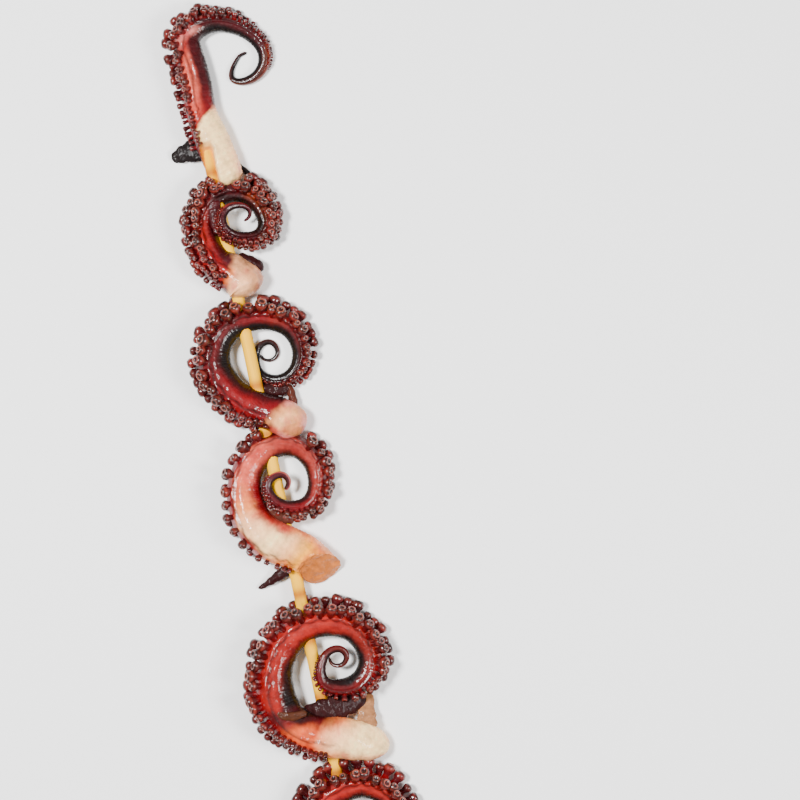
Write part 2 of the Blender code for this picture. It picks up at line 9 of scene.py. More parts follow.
import bpy
import numpy as np
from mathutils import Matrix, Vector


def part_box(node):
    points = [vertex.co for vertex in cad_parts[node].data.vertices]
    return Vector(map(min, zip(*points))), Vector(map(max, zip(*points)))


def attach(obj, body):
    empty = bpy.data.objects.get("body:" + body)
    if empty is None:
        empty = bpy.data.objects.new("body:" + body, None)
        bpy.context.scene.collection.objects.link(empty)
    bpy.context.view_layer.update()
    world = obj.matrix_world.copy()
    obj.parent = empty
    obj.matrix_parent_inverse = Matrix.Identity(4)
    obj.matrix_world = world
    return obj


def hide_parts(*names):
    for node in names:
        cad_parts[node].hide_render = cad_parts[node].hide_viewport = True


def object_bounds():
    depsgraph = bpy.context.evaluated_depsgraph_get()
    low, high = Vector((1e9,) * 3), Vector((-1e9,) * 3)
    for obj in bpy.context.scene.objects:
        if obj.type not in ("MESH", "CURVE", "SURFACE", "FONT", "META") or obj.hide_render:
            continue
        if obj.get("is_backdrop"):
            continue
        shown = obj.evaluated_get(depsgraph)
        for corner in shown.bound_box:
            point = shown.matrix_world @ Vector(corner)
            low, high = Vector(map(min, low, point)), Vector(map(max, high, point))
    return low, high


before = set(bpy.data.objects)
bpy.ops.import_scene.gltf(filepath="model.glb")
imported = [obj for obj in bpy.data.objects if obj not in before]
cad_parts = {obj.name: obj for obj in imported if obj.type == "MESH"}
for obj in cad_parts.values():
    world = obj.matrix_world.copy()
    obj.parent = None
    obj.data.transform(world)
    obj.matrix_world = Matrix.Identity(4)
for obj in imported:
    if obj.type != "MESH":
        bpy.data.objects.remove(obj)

cad_low, cad_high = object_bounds()
MM = 0.001
stick_low, stick_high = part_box("stick")
POINT = np.array(((stick_low[0] + stick_high[0]) / 2, stick_high[1])) / MM
STICK_HEIGHT = (stick_low[2] + stick_high[2]) / 2 / MM
STICK_RADIUS = (stick_high[0] - stick_low[0]) / 2 / MM
STICK_LENGTH = (stick_high[1] - stick_low[1]) / MM
print("stick's point at", POINT.round(2), "mm, centre", round(STICK_HEIGHT, 2), "mm up")

# %% [markdown]
# An arm of a squid is a long cone of muscle. On a skewer it curls up as it cooks, so its middle
# line is a coil. Tracing every millimetre of it would give a long list of points. A row for
# about each quarter turn is enough, because a smooth curve joins them. The columns are the place
# in millimetres from the stick's point, the heading in degrees, half the width, the lift off the
# floor, how far the sucker side is rolled up, and the radius of the suckers.

# %% The plans of the arms
X, Y, HEADING, HALF_WIDTH, LIFT, ROLL, SUCKER = range(7)
ARMS = {
    "arm_1": (
        (6.2, -24.0, 104, 6.6, 0.0, 12, 0.0),
        (2.2, -5.5, 101, 7.1, 0.0, 12, 0.0),
        (0.7, 5.0, 92, 6.1, 0.0, 12, 1.1),
        (1.0, 18.0, 90, 6.0, 0.0, 10, 1.5),
        (0.6, 32.0, 90, 5.6, 0.0, 8, 1.9),
        (11.0, 39.2, 0, 3.9, 0.0, 6, 1.8),
        (24.3, 33.5, -42, 3.1, 0.0, 0, 0.9),
        (30.0, 23.0, -92, 2.7, 0.0, 0, 0.4),
        (20.2, 14.0, 180, 1.7, 0.0, 0, 0.0),
        (15.2, 17.2, 84, 1.0, 0.0, 0, 0.0),
        (19.2, 23.8, 47, 0.8, 0.0, 0, 0.0),
        (23.2, 25.3, 10, 0.6, 0.0, 0, 0.0),
    ),
    "arm_2": (
        (4.8, -67.5, 108, 8.4, 0.0, 24, 0.0),
        (0.0, -61.2, 128, 7.6, 0.0, 24, 0.9),
        (-5.3, -55.5, 120, 6.6, 0.0, 25, 1.4),
        (-8.6, -42.0, 90, 5.2, 0.0, 26, 1.8),
        (5.0, -28.7, 0, 4.8, 0.0, 27, 2.1),
        (17.6, -42.0, -90, 4.1, 0.0, 28, 1.6),
        (11.0, -48.9, 180, 2.9, 3.0, 28, 1.2),
        (0.0, -40.5, 88, 2.2, 9.0, 26, 0.6),
        (6.2, -34.9, 0, 1.4, 8.0, 24, 0.0),
        (11.6, -38.4, -90, 0.9, 6.0, 20, 0.0),
        (8.4, -41.3, 185, 0.4, 5.0, 20, 0.0),
    ),
    "arm_3": (
        (11.2, -126.0, 118, 7.3, 0.0, 6, 0.0),
        (7.3, -121.3, 138, 7.4, 0.0, 6, 0.0),
        (1.5, -117.6, 150, 6.9, 0.0, 6, 1.5),
        (-9.6, -108.8, 128, 6.8, 0.0, 7, 2.0),
        (-14.5, -96.0, 91, 6.8, 0.0, 8, 2.2),
        (2.0, -80.2, 0, 5.0, 0.0, 10, 2.4),
        (16.2, -84.8, -44, 4.6, 0.0, 14, 2.0),
        (20.2, -95.0, -90, 3.7, 0.0, 18, 1.7),
        (10.0, -106.8, 180, 2.7, 0.0, 20, 0.9),
        (1.3, -98.5, 88, 1.7, 0.0, 20, 0.0),
        (7.4, -90.5, 0, 1.2, 0.0, 20, 0.0),
        (10.8, -94.8, -90, 1.0, 0.0, 20, 0.0),
        (7.2, -97.9, 180, 0.7, 0.0, 20, 0.0),
        (4.0, -95.0, 90, 0.5, 0.0, 20, 0.0),
    ),
    "arm_4": (
        (10.2, -183.0, 117, 7.6, 0.0, -20, 0.0),
        (4.8, -176.2, 140, 8.1, 0.0, -20, 0.9),
        (-5.6, -169.3, 140, 8.5, 0.0, -18, 1.3),
        (-12.2, -160.0, 110, 8.2, 0.0, -17, 1.6),
        (-13.5, -151.5, 90, 7.4, 0.0, -16, 1.9),
        (3.5, -131.8, 0, 5.0, 0.0, -8, 2.2),
        (16.4, -145.5, -90, 4.0, 0.0, 0, 2.0),
        (7.5, -157.9, 180, 3.2, 5.5, 4, 1.4),
        (-3.6, -148.0, 90, 1.7, 8.5, 6, 0.6),
        (1.8, -143.6, 0, 1.4, 8.3, 10, 0.0),
        (4.9, -146.8, -90, 1.2, 7.6, 10, 0.0),
        (2.6, -149.7, 190, 0.7, 7.6, 10, 0.0),
    ),
    "arm_5": (
        (19.5, -258.3, 152, 5.4, 0.0, 5, 0.0),
        (12.5, -254.6, 156, 7.8, 0.0, 5, 0.0),
        (2.0, -250.6, 163, 8.6, 0.0, 5, 0.9),
        (-8.0, -246.4, 150, 8.0, 0.0, 5, 1.2),
        (-14.8, -239.8, 122, 8.0, 0.0, 6, 1.6),
        (-17.4, -228.5, 90, 7.8, 0.0, 6, 2.1),
        (4.0, -204.8, 0, 6.0, 0.0, 7, 2.2),
        (22.3, -221.0, -90, 4.8, 0.0, 4, 2.0),
        (11.5, -232.0, 180, 3.8, 3.0, -10, 1.2),
        (2.0, -225.5, 88, 2.1, 7.8, -8, 0.6),
        (9.6, -216.2, 0, 1.5, 6.8, 0, 0.0),
        (13.3, -219.8, -90, 1.2, 6.2, 0, 0.0),
        (9.6, -223.2, 180, 0.9, 5.8, 0, 0.0),
        (6.6, -219.2, 70, 0.5, 5.2, 0, 0.0),
    ),
    "arm_6": (
        (19.5, -323.2, 160, 6.2, 0.0, 8, 0.0),
        (9.0, -319.2, 158, 7.7, 0.0, 8, 0.9),
        (-4.5, -312.0, 145, 7.4, 0.0, 9, 1.4),
        (-12.3, -302.0, 112, 7.0, 0.0, 10, 1.8),
        (-14.4, -290.0, 90, 6.6, 0.0, 11, 2.0),
        (5.5, -271.3, 0, 5.7, 0.0, 14, 2.3),
        (21.0, -289.5, -90, 4.4, 0.0, 13, 2.0),
        (10.5, -300.6, 180, 3.3, 3.5, 12, 1.2),
        (1.4, -291.0, 90, 2.1, 8.3, 11, 0.6),
        (7.6, -284.6, 0, 1.5, 7.6, 10, 0.0),
        (11.2, -288.2, -90, 1.1, 7.0, 10, 0.0),
        (8.2, -291.0, 180, 0.8, 6.6, 10, 0.0),
        (6.2, -288.4, 80, 0.5, 6.2, 10, 0.0),
    ),
}
# How far each base runs on before its first row, and over what length it rounds off, in mm
OVERHANG = {"arm_1": 3.0, "arm_2": 3.5, "arm_3": 4.0, "arm_4": 7.2, "arm_5": 3.5, "arm_6": 5.0}
ROUNDING = {"arm_1": 6.0, "arm_2": 6.0, "arm_3": 6.0, "arm_4": 3.0, "arm_5": 7.0, "arm_6": 8.0}
print(len(ARMS), "arms,", sum(len(rows) for rows in ARMS.values()), "rows")

# %% [markdown]
# The curve between two rows could be a straight line with a rounded joint, but a coil has no
# straight stretch. A Bezier curve with handles of chord / (3 cos(turn / 4) squared) follows a
# circle's arc, and it tightens smoothly where the two rows don't lie on one circle.

# %% Follow a plan
FINE_STEP = 0.25
CURVE_SAMPLES = 60
EASE_REACH = 4.0
WEB_ANGLE = math.radians(62)


def curve_between(start, end):
    """Cubic Bezier from row to row: handles along both headings, chord / (3 cos(turn/4)^2) long."""
    first = np.array(start[:2], float)
    last = np.array(end[:2], float)
    turn = (end[HEADING] - start[HEADING] + 180) % 360 - 180
    handle = np.hypot(*(last - first)) / (3 * math.cos(math.radians(turn) / 4) ** 2)
    out = math.radians(start[HEADING])
    into = math.radians(end[HEADING])
    second = first + handle * np.array((math.cos(out), math.sin(out)))
    third = last - handle * np.array((math.cos(into), math.sin(into)))
    t = np.linspace(0, 1, CURVE_SAMPLES, endpoint=False)[:, None]
    near = (1 - t) ** 3 * first + 3 * (1 - t) ** 2 * t * second
    return near + 3 * (1 - t) * t ** 2 * third + t ** 3 * last


def trace(rows):
    """The whole middle line at even steps, with the distance at which each row lies."""
    points = np.vstack([curve_between(a, b) for a, b in zip(rows, rows[1:])] + [[rows[-1][:2]]])
    run = np.concatenate(([0], np.cumsum(np.hypot(*np.diff(points, axis=0).T))))
    distance = np.linspace(0, run[-1], int(run[-1] / FINE_STEP) + 1)
    x = np.interp(distance, run, points[:, 0])
    y = np.interp(distance, run, points[:, 1])
    heading = np.unwrap(np.arctan2(np.gradient(y), np.gradient(x)))
    return {"at": distance, "x": x, "y": y, "heading": heading, "marks": run[::CURVE_SAMPLES], "rows": rows}


def place(path, distance):
    """Point and heading at each distance; before the start the line runs on straight."""
    before = np.minimum(distance, 0)
    heading = np.interp(distance, path["at"], path["heading"])
    x = np.interp(distance, path["at"], path["x"]) + before * math.cos(path["heading"][0])
    y = np.interp(distance, path["at"], path["y"]) + before * math.sin(path["heading"][0])
    return x, y, heading


def eased(path, values, distance):
    """Values given at the rows, interpolated along the line and averaged over 4 mm each way."""
    steps = np.linspace(-EASE_REACH, EASE_REACH, 9)
    return np.mean([np.interp(distance + step, path["marks"], values) for step in steps], axis=0)


def column(path, number, distance):
    """One column of the plan, such as the half width, at each distance along the line."""
    return eased(path, [row[number] for row in path["rows"]], distance)


def smooth(low, high, value):
    """0 below low, 1 above high, and an S-shaped ease between them."""
    t = np.clip((value - low) / (high - low), 0, 1)
    return t * t * (3 - 2 * t)


def ripple(a, b, seed):
    """Smooth unevenness from -1 to 1: five crossed sine waves, each about 1.6 times finer."""
    total = np.zeros(np.broadcast(a, b).shape)
    for octave in range(5):
        scale = 1.6 ** octave
        turn = seed * 1.7 + octave * 2.4
        wave = np.sin(scale * (a * math.cos(turn) + b * math.sin(turn)) + 5.1 * seed + octave)
        cross = np.sin(scale * (b * math.cos(turn) - a * math.sin(turn)) + 3.3 * seed)
        total = total + wave * cross / (1 + octave)
    return total / 1.6


def scallops(distance, sucker):
    """A cosine along the line, a wave for every 2.6 sucker radii, or 1.2 mm if that is more."""
    return np.cos(2 * math.pi * distance / np.maximum(2.6 * sucker, 1.2))


paths = {name: trace(rows) for name, rows in ARMS.items()}
print({name: round(float(path["marks"][-1]), 1) for name, path in paths.items()}, "mm long")

# %% [markdown]
# Cooked squid runs from cream at the cut base through peach and coral to a deep maroon, and the
# inner edge of every coil is nearly black. An image texture would carry the photo's light with
# it. Colours stored on the skin's own points turn with the arm and can follow its section, so
# each arm has a few stations: the row, the colours of its outer side, face and inner side, and
# how far across the face the inner colour starts (-1 is the inner edge, 1 the outer one).

# %% Colours
COLOURS = {
    "cream": "fbdeb2", "cream_pink": "f7caa6", "peach": "eda573", "pale_peach": "f0c39a", "tan": "dba57c",
    "salmon": "d67c6c", "pink": "dd9c94", "coral": "b04842", "red": "9a2f35", "orange_red": "b74c3a",
    "brick": "923c33", "crimson": "8f2a34", "dusty_red": "a9564e", "deep_red": "78262c", "rust": "9a5230",
    "maroon": "62202a", "dark_maroon": "4c1a20", "umber": "6e4336", "plum": "683038", "fawn": "d6a988",
    "straw": "ecb55a", "apricot": "dc7f56", "cut_flesh": "d0925f", "warm_coral": "a63c33",
    "black": "2e1413", "yellow_orange": "efb254", "cup_side": "6a2629", "cup_top": "8a463f",
    "cup_centre": "ac6e62", "rim": "2c1013", "stalk": "64222a", "stain": "b5621c", "olive": "6a4632",
    "taupe": "b08a6c", "bamboo": "f6cc3e",
}
DEEPEN = 1.55
SATURATE = 1.05
# How softly the inner colour meets the face, and where across the face the outer one comes in
INNER_SOFTNESS = 0.28
OUTER_COMES_IN = (0.42, 0.8)
# The dark line beside the web: how far past the web it runs, and its width, which is also how
# far it waves to each side, all in radians round the section
LINE_ANGLE = 0.13
LINE_WIDTH = 0.07
# How strongly the mottling, the blotches on red skin, that line and the inner edge show
MOTTLE = 0.2
FINE_MOTTLE = 0.14
BLOTCH = 0.45
BLOTCH_CHANNELS = np.array((0.5, 1.0, 0.85))
LINE_DARKENING = 0.75
KEEL_DARKENING = 0.75


def linear(name):
    """A hex colour as linear light, deeper and purer, because the view's soft curve pales colours."""
    text = COLOURS[name]
    value = np.array([int(text[i:i + 2], 16) / 255 for i in (0, 2, 4)])
    value = np.where(value <= 0.04045, value / 12.92, ((value + 0.055) / 1.055) ** 2.4) ** DEEPEN
    return np.clip(value.mean() + (value - value.mean()) * SATURATE, 0.001, 1)


# For each arm: how far the stations lean across the arm in mm, then the stations themselves.
# A station at 1.5 lies halfway between the rows 1 and 2.
TONES = {
    "arm_1": (5.0, (
        (0.0, "tan", "cream", "cream_pink", -0.7), (0.9, "deep_red", "cream", "cream", -0.8),
        (1.55, "deep_red", "cream", "cream_pink", -0.7), (1.75, "red", "coral", "crimson", -0.2),
        (2.5, "red", "salmon", "maroon", -0.15), (3.6, "deep_red", "salmon", "maroon", -0.05),
        (4.0, "red", "coral", "maroon", 0.0), (4.35, "brick", "pink", "dark_maroon", -0.3),
        (4.75, "dusty_red", "maroon", "black", -0.35), (6.0, "umber", "maroon", "black", -0.4),
        # On arm_1 the umber face at station 7.1 is a painted grey-brown highlight on the maroon skin.
        (6.9, "umber", "maroon", "black", -0.35), (7.1, "rust", "umber", "black", -0.3),
        (8.5, "umber", "dark_maroon", "black", -0.2), (11.0, "umber", "dark_maroon", "black", 0.0),
    )),
    "arm_2": (2.0, (
        (0.0, "pale_peach", "cream_pink", "fawn", -0.2), (0.8, "pale_peach", "cream_pink", "fawn", 0.0),
        (1.05, "deep_red", "peach", "fawn", -0.1), (1.4, "red", "coral", "plum", -0.1),
        (2.0, "red", "red", "maroon", -0.4), (3.0, "red", "coral", "maroon", -0.5),
        (3.7, "deep_red", "maroon", "dark_maroon", -0.2), (4.2, "deep_red", "maroon", "black", -0.4),
        (4.55, "brick", "rust", "dark_maroon", -0.35), (5.1, "brick", "umber", "black", -0.3),
        (6.0, "deep_red", "maroon", "dark_maroon", -0.4), (7.0, "dusty_red", "plum", "dark_maroon", -0.4),
        (10.0, "plum", "plum", "black", -0.3),
    )),
    "arm_3": (-2.0, (
        (0.0, "pink", "tan", "pink", -0.6), (0.7, "salmon", "pale_peach", "tan", -0.6),
        (1.3, "deep_red", "tan", "pink", -0.6), (1.75, "deep_red", "crimson", "maroon", -0.6),
        (2.6, "red", "red", "maroon", -0.5), (3.4, "deep_red", "crimson", "dark_maroon", -0.35),
        (4.0, "maroon", "deep_red", "black", -0.3), (4.8, "maroon", "deep_red", "black", -0.25),
        (5.3, "maroon", "crimson", "black", -0.35), (5.8, "brick", "brick", "black", -0.4),
        (6.4, "maroon", "deep_red", "black", -0.35), (7.2, "deep_red", "maroon", "black", -0.2),
        (8.0, "umber", "dark_maroon", "black", 0.0), (13.0, "umber", "dark_maroon", "black", 0.1),
    )),
    "arm_4": (-3.0, (
        (0.0, "peach", "peach", "tan", -0.6), (1.0, "yellow_orange", "straw", "peach", -0.7),
        (1.5, "peach", "pale_peach", "peach", -0.7),
        # On arm_4 the cream face at station 2.0 and the cream-pink face at 3.0 are a painted highlight on the
        # peach skin.
        (2.0, "coral", "cream", "salmon", -0.55), (3.0, "red", "cream_pink", "coral", -0.45),
        (3.7, "red", "peach", "crimson", -0.45), (4.3, "red", "salmon", "crimson", -0.45),
        (4.7, "deep_red", "salmon", "maroon", -0.6), (5.0, "maroon", "dusty_red", "dark_maroon", -0.55),
        (5.6, "deep_red", "dusty_red", "dark_maroon", -0.5),
        (6.2, "deep_red", "dusty_red", "dark_maroon", -0.5),
        (7.0, "dusty_red", "crimson", "dark_maroon", -0.4), (8.0, "dusty_red", "plum", "dark_maroon", -0.4),
        # The pink outer side at station 11.0 is a painted highlight on the purple-brown tip.
        (11.0, "pink", "plum", "dark_maroon", -0.2),
    )),
    "arm_5": (-3.0, (
        (0.0, "cream_pink", "cream", "cream_pink", -0.8), (1.2, "pale_peach", "cream", "cream", -0.8),
        (2.0, "peach", "cream_pink", "peach", -0.6), (2.7, "orange_red", "apricot", "deep_red", -0.5),
        (3.3, "red", "apricot", "maroon", -0.4), (3.8, "red", "brick", "dark_maroon", -0.2),
        # Stations 4.05 and 4.35 of arm_5 are painted shade: the crease where the base turns under is darkened
        # across the arm.
        (4.05, "deep_red", "deep_red", "maroon", 0.0), (4.35, "deep_red", "deep_red", "maroon", 0.1),
        (4.6, "red", "warm_coral", "black", -0.2), (5.4, "red", "warm_coral", "dark_maroon", -0.45),
        (5.7, "red", "coral", "deep_red", -0.55), (6.2, "red", "coral", "black", -0.6),
        (6.8, "orange_red", "brick", "black", -0.45), (7.3, "deep_red", "brick", "black", -0.4),
        (8.0, "deep_red", "deep_red", "black", -0.25), (9.0, "deep_red", "deep_red", "dark_maroon", -0.3),
        (13.0, "deep_red", "umber", "dark_maroon", -0.2),
    )),
    "arm_6": (-3.0, (
        (0.0, "cream_pink", "cream", "cream_pink", -0.8), (1.0, "peach", "cream_pink", "cream", -0.7),
        (2.0, "orange_red", "salmon", "deep_red", -0.5), (2.8, "red", "coral", "black", -0.2),
        (3.6, "red", "brick", "black", 0.0), (4.2, "red", "coral", "black", -0.35),
        (5.0, "red", "coral", "black", -0.5), (6.0, "orange_red", "brick", "black", -0.45),
        (7.0, "deep_red", "brick", "black", -0.3), (8.0, "maroon", "maroon", "dark_maroon", -0.3),
        (12.0, "deep_red", "umber", "dark_maroon", -0.2),
    )),
}


def skin_colours(name, path, distance, angle, roll, sucker, seed):
    """Inner, face and outer colours across the section, changing from station to station along it.

    A dark line follows the scalloped web, the inner edge darkens, two ripples mottle it all, and
    a third one makes darker blotches where the skin is red.
    """
    lean, stations = TONES[name]
    marks = np.interp([station[0] for station in stations], np.arange(len(path["marks"])), path["marks"])
    across = np.cos(angle) + 0 * distance[:, None]
    uneven = 1.4 * ripple(distance[:, None] / 3, across * 2.5, seed + 6)
    at = distance[:, None] + lean * across + uneven

    def along(number):
        values = np.array([linear(station[number]) for station in stations])
        return np.stack([np.interp(at, marks, values[:, channel]) for channel in range(3)], axis=-1)

    start = np.interp(at, marks, [station[4] for station in stations])
    wobble = 0.14 * ripple(distance[:, None] / 3, across * 2, seed)
    inner = 1 - smooth(start - INNER_SOFTNESS, start + INNER_SOFTNESS, across + wobble)
    outer = smooth(*OUTER_COMES_IN, across + wobble)
    inside, face, outside = along(3), along(2), along(1)
    colour = face * (1 - inner - outer).clip(0, 1)[..., None]
    colour = colour + inside * inner[..., None] + outside * outer[..., None]
    apart = np.angle(np.exp(1j * (angle - roll[:, None] - WEB_ANGLE)))
    wave = LINE_WIDTH * scallops(distance, sucker)[:, None]
    line = np.exp(-((apart - LINE_ANGLE - wave) / LINE_WIDTH) ** 2) * smooth(0.5, 1.1, sucker)[:, None]
    dark = 1 - smooth(0.02, 0.25, inside.mean(axis=-1))
    keel = dark * (1 - smooth(-0.97, -0.72, across))
    mottle = 1 + MOTTLE * ripple(distance[:, None] / 1.6, angle * 3.5, seed + 3)
    mottle = mottle + FINE_MOTTLE * ripple(distance[:, None] * 1.7, angle * 9, seed + 4)
    blotch = smooth(0.0, 0.7, ripple(distance[:, None] / 2.6, angle * 2.2, seed + 9))[..., None]
    reddish = colour[..., :1] > 2 * colour[..., 1:2]
    colour = colour * (1 - BLOTCH * blotch * BLOTCH_CHANNELS * reddish)
    shade = mottle * (1 - LINE_DARKENING * line) * (1 - KEEL_DARKENING * keel)
    return np.clip(colour * shade[..., None], 0, 1)


print(len(COLOURS), "colours,", sum(len(stations) for _, stations in TONES.values()), "stations")

# %% [markdown]
# Wet cooked skin is a thin clear film over soft, slightly see-through muscle. A plain glossy
# red would look like plastic. Here the stored colour is broken up by a fine noise, a little
# light passes below the surface, a coat gives the wet film, and a small bump breaks the
# highlights into the bright specks that the real skin shows.

# %% Materials of the flesh
COAT_ROUGHNESS = 0.09
SPECULAR_LEVEL = 0.12
DARKEST_SPECK = 0.78
LIGHTEST_SPECK = 1.2
# The coarser noise has this share of the finer one's waves
COARSER = 0.45
SCATTER_COLOURS = (1.0, 0.35, 0.2)
SCATTER_DEPTH = 0.0015
SKIN_BUMP_STRENGTH = 0.8


def nodes_of(name):
    """A new material with its node tree and its surface shader."""
    material = bpy.data.materials.new(name)
    material.use_nodes = True
    tree = material.node_tree
    return material, tree, tree.nodes["Principled BSDF"]


def add_noise(tree, scale, detail, coordinates):
    """A noise on the piece's own coordinates, with so many waves to the metre."""
    noise = tree.nodes.new("ShaderNodeTexNoise")
    noise.inputs["Scale"].default_value = scale
    noise.inputs["Detail"].default_value = detail
    tree.links.new(coordinates.outputs["Object"], noise.inputs["Vector"])
    return noise


def speckle(tree, shader, noise, darkest, lightest):
    """The base colour: the stored colour times a noise spread from darkest to lightest."""
    tint = tree.nodes.new("ShaderNodeAttribute")
    tint.attribute_name = "tint"
    spread = tree.nodes.new("ShaderNodeMapRange")
    spread.inputs["To Min"].default_value = darkest
    spread.inputs["To Max"].default_value = lightest
    tree.links.new(noise.outputs["Fac"], spread.inputs["Value"])
    mixed = tree.nodes.new("ShaderNodeVectorMath")
    mixed.operation = "SCALE"
    tree.links.new(tint.outputs["Color"], mixed.inputs[0])
    tree.links.new(spread.outputs["Result"], mixed.inputs["Scale"])
    tree.links.new(mixed.outputs["Vector"], shader.inputs["Base Color"])


def add_bump(tree, noise, strength, height, target):
    """A bump from a noise, so many metres high, on one of the shader's normals."""
    bump = tree.nodes.new("ShaderNodeBump")
    bump.inputs["Strength"].default_value = strength
    bump.inputs["Distance"].default_value = height
    tree.links.new(noise.outputs["Fac"], bump.inputs["Height"])
    tree.links.new(bump.outputs["Normal"], target)


def wet_material(name, coat, roughness, bump_height, grain, soft, film_bump):
    """Stored colour times a fine noise; a coarser one bumps the skin and, less, its wet film."""
    material, tree, shader = nodes_of(name)
    coordinates = tree.nodes.new("ShaderNodeTexCoord")
    fine = add_noise(tree, grain, 6.0, coordinates)
    speckle(tree, shader, fine, DARKEST_SPECK, LIGHTEST_SPECK)
    wrinkles = add_noise(tree, grain * COARSER, 4.0, coordinates)
    add_bump(tree, wrinkles, SKIN_BUMP_STRENGTH, bump_height, shader.inputs["Normal"])
    add_bump(tree, wrinkles, film_bump, bump_height, shader.inputs["Coat Normal"])
    shader.inputs["Roughness"].default_value = roughness
    shader.inputs["Coat Weight"].default_value = coat
    shader.inputs["Coat Roughness"].default_value = COAT_ROUGHNESS
    shader.inputs["Specular IOR Level"].default_value = SPECULAR_LEVEL
    shader.inputs["Subsurface Weight"].default_value = soft
    shader.inputs["Subsurface Radius"].default_value = SCATTER_COLOURS
    shader.inputs["Subsurface Scale"].default_value = SCATTER_DEPTH
    return material


skin = wet_material(
    "wet_skin", coat=0.42, roughness=0.5, bump_height=0.0008, grain=900.0, soft=0.06, film_bump=0.4,
)
cups = wet_material(
    "sucker_skin", coat=0.8, roughness=0.45, bump_height=0.0005, grain=1400.0, soft=0.08, film_bump=0.3,
)
shreds = wet_material(
    "dark_shred", coat=0.14, roughness=0.62, bump_height=0.0006, grain=1100.0, soft=0.0, film_bump=0.9,
)
print("materials:", [m.name for m in (skin, cups, shreds)])

# %% [markdown]
# A grid of points carried along the middle line makes the skin: one ring for every third of a
# millimetre, each an oval that is fuller on top of the sucker side and flat where it lies.
# A bevelled curve would do the same with a round section only. Relief moves the points in and
# out: soft swells of muscle, the scalloped edge of the web beside the suckers, and fine
# wrinkles where the inner side is squeezed.

# %% Skins
FLAT_ANGLE = math.radians(70)
FULLNESS = 0.14
THICKNESS = 0.95
END_DROOP = 0.5
TIP_ROUNDING = 1.2
RING_STEP = 0.34
AROUND = 72
FLOOR_FILM = 0.02
# Heights of the relief, as shares of the arm's half width
SWELL = 0.035
TORN_SWELL = 0.05
TORN_LUMPS = 0.03
WRINKLES = 0.03
# The web's height and the gutter's depth grow with the suckers, up to this radius in mm
WEB_HEIGHT = 0.32
GUTTER_DEPTH = 0.25
WEB_SUCKER = 1.6


def body(path, distance, overhang, rounding, thickness=THICKNESS):
    """Half width, half height and height of the centre: ends close like a quarter ellipse."""
    full = column(path, HALF_WIDTH, distance)
    base = np.clip((distance + overhang) / rounding, 0, 1)
    tip = np.clip((path["marks"][-1] - distance) / TIP_ROUNDING, 0, 1)
    closing = np.sqrt(1 - (1 - base) ** 2) * np.sqrt(1 - (1 - tip) ** 2)
    rest = math.sin(FLAT_ANGLE) * full * thickness * (1 - END_DROOP * (1 - closing))
    return full * closing, full * thickness * closing, rest + column(path, LIFT, distance)


def painted_mesh(name, points, faces, paint, material):
    """A smooth object from points in the plan's millimetres, with a colour on every point."""
    mesh = bpy.data.meshes.new(name)
    mesh.from_pydata((points + (*POINT, 0)) * MM, [], faces)
    layer = mesh.color_attributes.new("tint", "FLOAT_COLOR", "POINT")
    layer.data.foreach_set("color", np.c_[paint, np.ones(len(paint))].astype(np.float32).ravel())
    mesh.polygons.foreach_set("use_smooth", np.ones(len(mesh.polygons), bool))
    mesh.materials.append(material)
    item = bpy.data.objects.new(name, mesh)
    bpy.context.scene.collection.objects.link(item)
    return item


def grid_mesh(name, points, colours, material):
    """A closed tube from a grid of rings, with a fan at each end and a colour on every point."""
    rings, sides = points.shape[:2]
    ends = points[[0, -1]].mean(axis=1)
    end_colours = colours[[0, -1]].mean(axis=1)
    vertices = np.vstack((points.reshape(-1, 3), ends))
    paint = np.vstack((colours.reshape(-1, 3), end_colours))
    number = np.arange(rings * sides).reshape(rings, sides)
    after = np.roll(number, -1, axis=1)
    quads = np.stack((number[:-1], after[:-1], after[1:], number[1:]), axis=-1).reshape(-1, 4)
    first = np.full(sides, rings * sides)
    fans = np.vstack((
        np.stack((after[0], number[0], first), axis=-1),
        np.stack((number[-1], after[-1], first + 1), axis=-1),
    ))
    return painted_mesh(name, vertices, quads.tolist() + fans.tolist(), paint, material)


def skin_relief(distance, angle, width, sucker, roll, torn, seed):
    """How far the skin stands out, in mm: swells, the scalloped web edge, and squeezed wrinkles.

    At the torn base the swells are more than twice as high, with finer lumps on them.
    """
    swell = (SWELL + TORN_SWELL * torn) * width
    swell = swell * ripple(distance / 5, 2 * np.cos(angle) + np.sin(angle), seed)
    lumps = ripple(distance / 1.6, 4 * np.cos(angle) + 3 * np.sin(angle), seed + 8)
    swell = swell + TORN_LUMPS * torn * width * lumps
    apart = np.angle(np.exp(1j * (angle - roll - WEB_ANGLE)))
    scallop = 0.6 + 0.4 * scallops(distance, sucker)
    web = WEB_HEIGHT * np.minimum(sucker, WEB_SUCKER) * np.exp(-(apart / 0.11) ** 2) * scallop
    gutter = -GUTTER_DEPTH * np.minimum(sucker, WEB_SUCKER) * np.exp(-((apart - 0.3) / 0.14) ** 2)
    inner = smooth(0.1, 0.8, -np.cos(angle))
    crease = np.sin(2 * math.pi * distance / 1.3 + 2 * np.sin(distance))
    wrinkle = WRINKLES * inner * np.minimum(width, 3) * crease
    return swell + web + gutter + wrinkle


